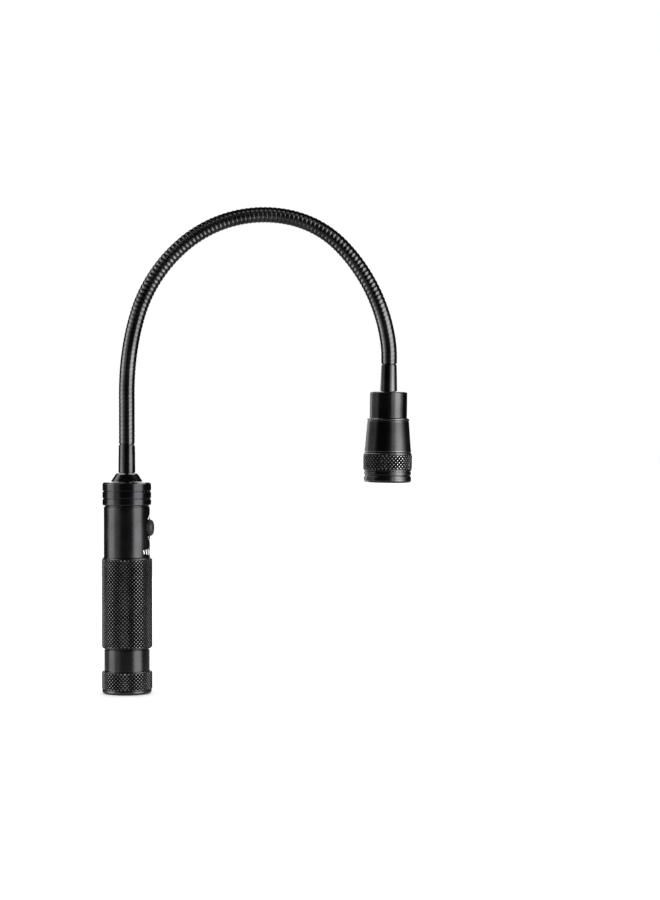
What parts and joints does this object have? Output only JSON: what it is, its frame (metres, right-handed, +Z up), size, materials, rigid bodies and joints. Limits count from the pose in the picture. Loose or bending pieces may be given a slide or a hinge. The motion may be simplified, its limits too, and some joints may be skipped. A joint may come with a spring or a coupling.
{
  "type": "gooseneck inspection torch",
  "caption": "Black hand torch: knurled round handle with a side button and a magnetic screw-on tail, a bendable ribbed neck, and a small head whose sleeve slides to focus the beam.",
  "frame": {"origin": "centre of the tail's flat end face", "axes": "+Z up the handle from the tail, +X towards the side the neck arches to at rest, the arch in the XZ plane"},
  "size_m": [0.1599, 0.026, 0.2507],
  "materials": {
    "black_anodised": "satin black anodising",
    "hose_steel": "satin black oxide",
    "black_rubber": "matte",
    "cell_wrap": "shrink-wrapped cell",
    "nickel": "nickel plate",
    "spring_steel": "bright wire",
    "brass": "machined",
    "green_board": "solder mask",
    "switch_shell": "pressed tin",
    "white_plastic": "moulded",
    "red_plastic": "moulded",
    "emitter_yellow": "phosphor",
    "clear_lens": "clear"
  },
  "bodies": {
    "handle": {"handle_tube": "black_anodised", "front_collar": "black_anodised", "neck_cone_nut": "black_anodised", "neck_lower_ferrule": "black_anodised", "neck_hose_base": "hose_steel", "battery_cell": "cell_wrap", "battery_positive_cap": "nickel", "front_contact_spring": "brass", "driver_board": "green_board", "switch_board": "green_board", "tact_switch": "switch_shell", "switch_carrier": "white_plastic", "collar_o_ring": "black_rubber", "tail_o_ring": "black_rubber"},
    "button": {"switch_button": "black_rubber", "tact_plunger": "red_plastic"},
    "tail_contact": {"tail_contact_plate": "brass", "tail_spring": "spring_steel"},
    "tail_cap": {"tail_cap": "black_anodised", "tail_magnet": "nickel", "tail_end_disc": "black_anodised"},
    "neck_01": {"neck_link_01": "hose_steel"},
    "neck_02": {"neck_link_02": "hose_steel"},
    "neck_03": {"neck_link_03": "hose_steel"},
    "neck_04": {"neck_link_04": "hose_steel"},
    "neck_05": {"neck_link_05": "hose_steel"},
    "neck_06": {"neck_link_06": "hose_steel"},
    "neck_07": {"neck_link_07": "hose_steel"},
    "neck_08": {"neck_link_08": "hose_steel"},
    "neck_09": {"neck_link_09": "hose_steel"},
    "neck_10": {"neck_link_10": "hose_steel"},
    "neck_11": {"neck_link_11": "hose_steel"},
    "neck_12": {"neck_link_12": "hose_steel"},
    "neck_13": {"neck_link_13": "hose_steel"},
    "neck_14": {"neck_link_14": "hose_steel"},
    "neck_15": {"neck_link_15": "hose_steel"},
    "neck_16": {"neck_link_16": "hose_steel"},
    "neck_17": {"neck_link_17": "hose_steel"},
    "neck_18": {"neck_link_18": "hose_steel"},
    "neck_19": {"neck_link_19": "hose_steel"},
    "neck_20": {"neck_link_20": "hose_steel"},
    "neck_21": {"neck_link_21": "hose_steel"},
    "neck_22": {"neck_link_22": "hose_steel"},
    "neck_23": {"neck_link_23": "hose_steel"},
    "head": {"neck_hose_tip": "hose_steel", "neck_upper_ferrule": "black_anodised", "head_barrel": "black_anodised", "barrel_o_ring": "black_rubber", "barrel_stop_ring": "spring_steel", "led_pill": "brass", "led_board": "white_plastic", "led_package": "emitter_yellow", "led_dome": "clear_lens", "led_retainer": "white_plastic"},
    "focus_sleeve": {"zoom_sleeve": "black_anodised", "bezel_ring": "black_anodised", "lens": "clear_lens", "lens_seal_ring": "black_rubber"}
  },
  "joints": [
    {"name": "neck_base_bend", "type": "hinge", "parent": "handle", "child": "neck_01", "pos_m": [0, 0, 0.1362], "axis": [0, 1, 0], "range_deg": [-12, 4]},
    {"name": "neck_base_sway", "type": "hinge", "parent": "neck_01", "child": "neck_02", "pos_m": [0, 0, 0.14717], "axis": [1, 0, 0], "range_deg": [-12, 12]},
    {"name": "neck_base_bend_2", "type": "hinge", "parent": "neck_02", "child": "neck_03", "pos_m": [0.00002, 0, 0.15814], "axis": [0, 1, 0], "range_deg": [-12.5, 4.5]},
    {"name": "neck_base_bend_3", "type": "hinge", "parent": "neck_03", "child": "neck_04", "pos_m": [0.00062, 0, 0.16909], "axis": [0, 1, 0], "range_deg": [-12.5, 4.5]},
    {"name": "neck_base_sway_2", "type": "hinge", "parent": "neck_04", "child": "neck_05", "pos_m": [0.00206, 0, 0.17996], "axis": [0.9854, 0, -0.17], "range_deg": [-12.5, 12.5]},
    {"name": "neck_base_bend_4", "type": "hinge", "parent": "neck_05", "child": "neck_06", "pos_m": [0.00434, 0, 0.19069], "axis": [0, 1, 0], "range_deg": [-12.5, 4.5]},
    {"name": "neck_rise_bend", "type": "hinge", "parent": "neck_06", "child": "neck_07", "pos_m": [0.00764, 0, 0.20114], "axis": [0, 1, 0], "range_deg": [-12.3, 2]},
    {"name": "neck_rise_sway", "type": "hinge", "parent": "neck_07", "child": "neck_08", "pos_m": [0.01239, 0, 0.21102], "axis": [0.8682, 0, -0.4963], "range_deg": [-12, 12]},
    {"name": "neck_rise_bend_2", "type": "hinge", "parent": "neck_08", "child": "neck_09", "pos_m": [0.01849, 0, 0.22012], "axis": [0, 1, 0], "range_deg": [-12.8, 2.5]},
    {"name": "neck_rise_bend_3", "type": "hinge", "parent": "neck_09", "child": "neck_10", "pos_m": [0.02584, 0, 0.22826], "axis": [0, 1, 0], "range_deg": [-13.5, 2.6]},
    {"name": "neck_rise_sway_2", "type": "hinge", "parent": "neck_10", "child": "neck_11", "pos_m": [0.03429, 0, 0.23523], "axis": [0.5711, 0, -0.8209], "range_deg": [-12.5, 12.5]},
    {"name": "neck_rise_bend_4", "type": "hinge", "parent": "neck_11", "child": "neck_12", "pos_m": [0.04379, 0, 0.24069], "axis": [0, 1, 0], "range_deg": [-15.2, 2.9]},
    {"name": "neck_rise_bend_5", "type": "hinge", "parent": "neck_12", "child": "neck_13", "pos_m": [0.05408, 0, 0.24445], "axis": [0, 1, 0], "range_deg": [-15.2, 2.9]},
    {"name": "neck_rise_sway_3", "type": "hinge", "parent": "neck_13", "child": "neck_14", "pos_m": [0.06486, 0, 0.2464], "axis": [0.0926, 0, -0.9957], "range_deg": [-12.5, 12.5]},
    {"name": "neck_rise_bend_6", "type": "hinge", "parent": "neck_14", "child": "neck_15", "pos_m": [0.07582, 0, 0.24647], "axis": [0, 1, 0], "range_deg": [-15.2, 2.9]},
    {"name": "neck_fall_bend", "type": "hinge", "parent": "neck_15", "child": "neck_16", "pos_m": [0.08663, 0, 0.24467], "axis": [0, 1, 0], "range_deg": [-17.4, 2]},
    {"name": "neck_fall_sway", "type": "hinge", "parent": "neck_16", "child": "neck_17", "pos_m": [0.09686, 0, 0.24079], "axis": [-0.4511, 0, -0.8925], "range_deg": [-12, 12]},
    {"name": "neck_fall_bend_2", "type": "hinge", "parent": "neck_17", "child": "neck_18", "pos_m": [0.10606, 0, 0.23485], "axis": [0, 1, 0], "range_deg": [-18.7, 2.6]},
    {"name": "neck_fall_bend_3", "type": "hinge", "parent": "neck_18", "child": "neck_19", "pos_m": [0.11387, 0, 0.22716], "axis": [0, 1, 0], "range_deg": [-11.7, 1.8]},
    {"name": "neck_fall_sway_2", "type": "hinge", "parent": "neck_19", "child": "neck_20", "pos_m": [0.12053, 0, 0.21846], "axis": [-0.83, 0, -0.5577], "range_deg": [-12.5, 12.5]},
    {"name": "neck_fall_bend_4", "type": "hinge", "parent": "neck_20", "child": "neck_21", "pos_m": [0.12607, 0, 0.209], "axis": [0, 1, 0], "range_deg": [-11.2, 1.7]},
    {"name": "neck_fall_bend_5", "type": "hinge", "parent": "neck_21", "child": "neck_22", "pos_m": [0.1304, 0, 0.19893], "axis": [0, 1, 0], "range_deg": [-11.2, 1.7]},
    {"name": "neck_fall_sway_3", "type": "hinge", "parent": "neck_22", "child": "neck_23", "pos_m": [0.13345, 0, 0.1884], "axis": [-0.9758, 0, -0.2186], "range_deg": [-12.5, 12.5]},
    {"name": "neck_fall_bend_6", "type": "hinge", "parent": "neck_23", "child": "head", "pos_m": [0.13512, 0, 0.17756], "axis": [0, 1, 0], "range_deg": [-14, 2]},
    {"name": "button_press", "type": "slide", "parent": "handle", "child": "button", "axis": [-0.9976, 0.0698, 0], "range_m": [0, 0.0008], "stiffness_N_per_m": 2500, "springref_m": -0.0004},
    {"name": "cap_travel", "type": "slide", "parent": "handle", "child": "tail_contact", "axis": [0, 0, -1], "range_m": [0, 0.0076]},
    {"name": "cap_unscrew", "type": "hinge", "parent": "tail_contact", "child": "tail_cap", "pos_m": [0, 0, 0], "axis": [0, 0, -1], "range_deg": [-3, 1830]},
    {"name": "focus_slide", "type": "slide", "parent": "head", "child": "focus_sleeve", "axis": [0.014, 0, 0.9999], "range_m": [0, 0.008]}
  ],
  "couplings": [
    {"joint": "neck_base_bend_2", "follows": "neck_base_bend", "ratio": 1},
    {"joint": "neck_base_bend_3", "follows": "neck_base_bend", "ratio": 1},
    {"joint": "neck_base_bend_4", "follows": "neck_base_bend", "ratio": 1},
    {"joint": "neck_base_sway_2", "follows": "neck_base_sway", "ratio": 1},
    {"joint": "neck_rise_bend_2", "follows": "neck_rise_bend", "ratio": 1},
    {"joint": "neck_rise_bend_3", "follows": "neck_rise_bend", "ratio": 1.0609},
    {"joint": "neck_rise_bend_4", "follows": "neck_rise_bend", "ratio": 1.1967},
    {"joint": "neck_rise_bend_5", "follows": "neck_rise_bend", "ratio": 1.1967},
    {"joint": "neck_rise_bend_6", "follows": "neck_rise_bend", "ratio": 1.1967},
    {"joint": "neck_rise_sway_2", "follows": "neck_rise_sway", "ratio": 1},
    {"joint": "neck_rise_sway_3", "follows": "neck_rise_sway", "ratio": 1},
    {"joint": "neck_fall_bend_2", "follows": "neck_fall_bend", "ratio": 1.0442},
    {"joint": "neck_fall_bend_3", "follows": "neck_fall_bend", "ratio": 0.642},
    {"joint": "neck_fall_bend_4", "follows": "neck_fall_bend", "ratio": 0.6123},
    {"joint": "neck_fall_bend_5", "follows": "neck_fall_bend", "ratio": 0.6123},
    {"joint": "neck_fall_bend_6", "follows": "neck_fall_bend", "ratio": 0.7731},
    {"joint": "neck_fall_sway_2", "follows": "neck_fall_sway", "ratio": 1},
    {"joint": "neck_fall_sway_3", "follows": "neck_fall_sway", "ratio": 1},
    {"joint": "cap_unscrew", "follows": "cap_travel", "rad_per_m": 4188.8}
  ]
}
